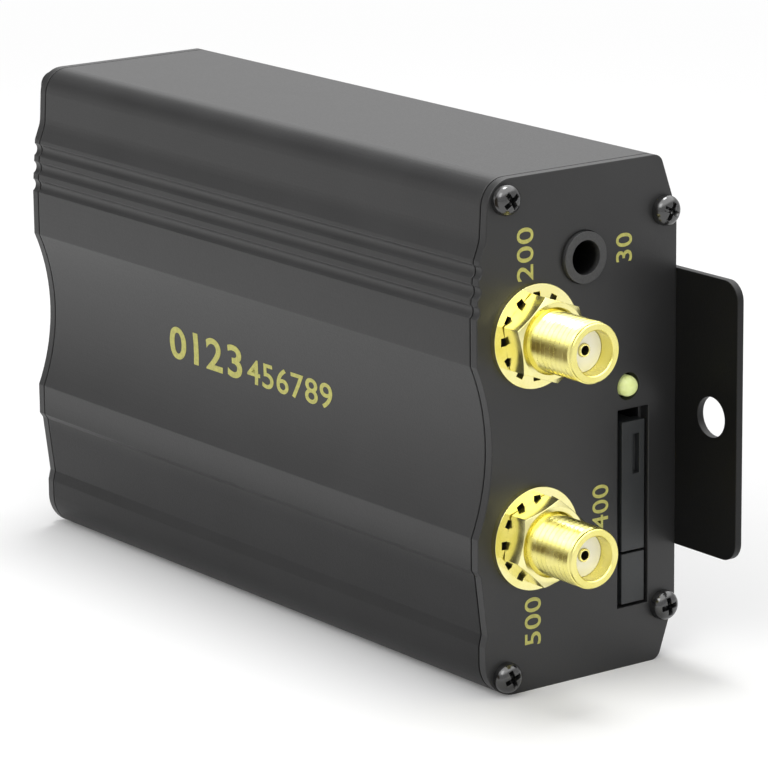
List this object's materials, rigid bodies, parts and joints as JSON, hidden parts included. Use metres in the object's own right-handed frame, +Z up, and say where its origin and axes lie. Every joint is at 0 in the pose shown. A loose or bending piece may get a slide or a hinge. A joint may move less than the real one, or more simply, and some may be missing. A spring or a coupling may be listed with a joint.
{
  "type": "gps tracker",
  "caption": "Vehicle tracker in a wavy black extruded case, with gold aerial sockets, a jack, a lamp and a card drawer on one end plate and two mounting ears.",
  "frame": {"origin": "middle of the long narrow base face that the case stands on, half way along the case", "axes": "+X towards the end plate with the aerial sockets, -Y the wavy front, +Z up"},
  "size_m": [0.1027, 0.0268, 0.054],
  "materials": {
    "black_case": "matte black anodised extrusion with fine draw lines",
    "black_plate": "satin black plate",
    "black_bracket": "black steel plate",
    "black_screw": "black plated screw",
    "gold": "bright gold plating",
    "cream_insulator": "waxy cream",
    "black_plastic": "moulded black",
    "tin": "tinned",
    "lamp_lens": "diffused pale lens",
    "green_board": "solder mask",
    "battery_wrap": "film",
    "grey_ferrite": "ferrite",
    "grey_plastic": "moulded dark grey",
    "white_card": "plain card"
  },
  "bodies": {
    "tracker_case": {"case_extrusion": "black_case", "connector_end_plate": "black_plate", "harness_end_plate": "black_plate", "mounting_plate": "black_bracket", "connector_plate_screws": "black_screw", "harness_plate_screws": "black_screw", "mounting_plate_screws": "black_screw", "gps_socket_shell": "gold", "gps_socket_insulator": "cream_insulator", "gps_socket_contact": "gold", "gps_socket_washer": "gold", "gps_socket_nut": "gold", "gsm_socket_shell": "gold", "gsm_socket_insulator": "cream_insulator", "gsm_socket_contact": "gold", "gsm_socket_washer": "gold", "gsm_socket_nut": "gold", "jack_body": "grey_plastic", "jack_contacts": "tin", "status_lamp": "lamp_lens", "lamp_leads": "tin", "main_board": "green_board", "radio_board": "green_board", "board_link_header": "black_plastic", "gsm_module": "tin", "gps_module": "tin", "controller_chip": "black_plastic", "backup_battery": "battery_wrap", "filter_capacitor": "tin", "power_inductor": "grey_ferrite", "harness_socket": "black_plastic", "harness_socket_pins": "gold", "relay_socket": "black_plastic", "relay_socket_pins": "gold", "card_housing": "tin", "card_contacts": "gold"},
    "drawer": {"card_drawer": "grey_plastic", "network_card": "white_card"},
    "button": {"eject_button": "grey_plastic"},
    "lever": {"eject_lever": "tin"}
  },
  "joints": [
    {"name": "drawer_slide", "type": "slide", "parent": "tracker_case", "child": "drawer", "axis": [1, 0, 0], "range_m": [0, 0.018]},
    {"name": "button_press", "type": "slide", "parent": "tracker_case", "child": "button", "axis": [-1, 0, 0], "range_m": [0, 0.0022], "stiffness_N_per_m": 250, "springref_m": -0.0006},
    {"name": "lever_turn", "type": "hinge", "parent": "tracker_case", "child": "lever", "pos_m": [0.01905, 0.00745, 0.01185], "axis": [0, 1, 0], "range_deg": [0, 32]}
  ],
  "couplings": [
    {"joint": "lever_turn", "follows": "button_press", "rad_per_m": 250}
  ]
}
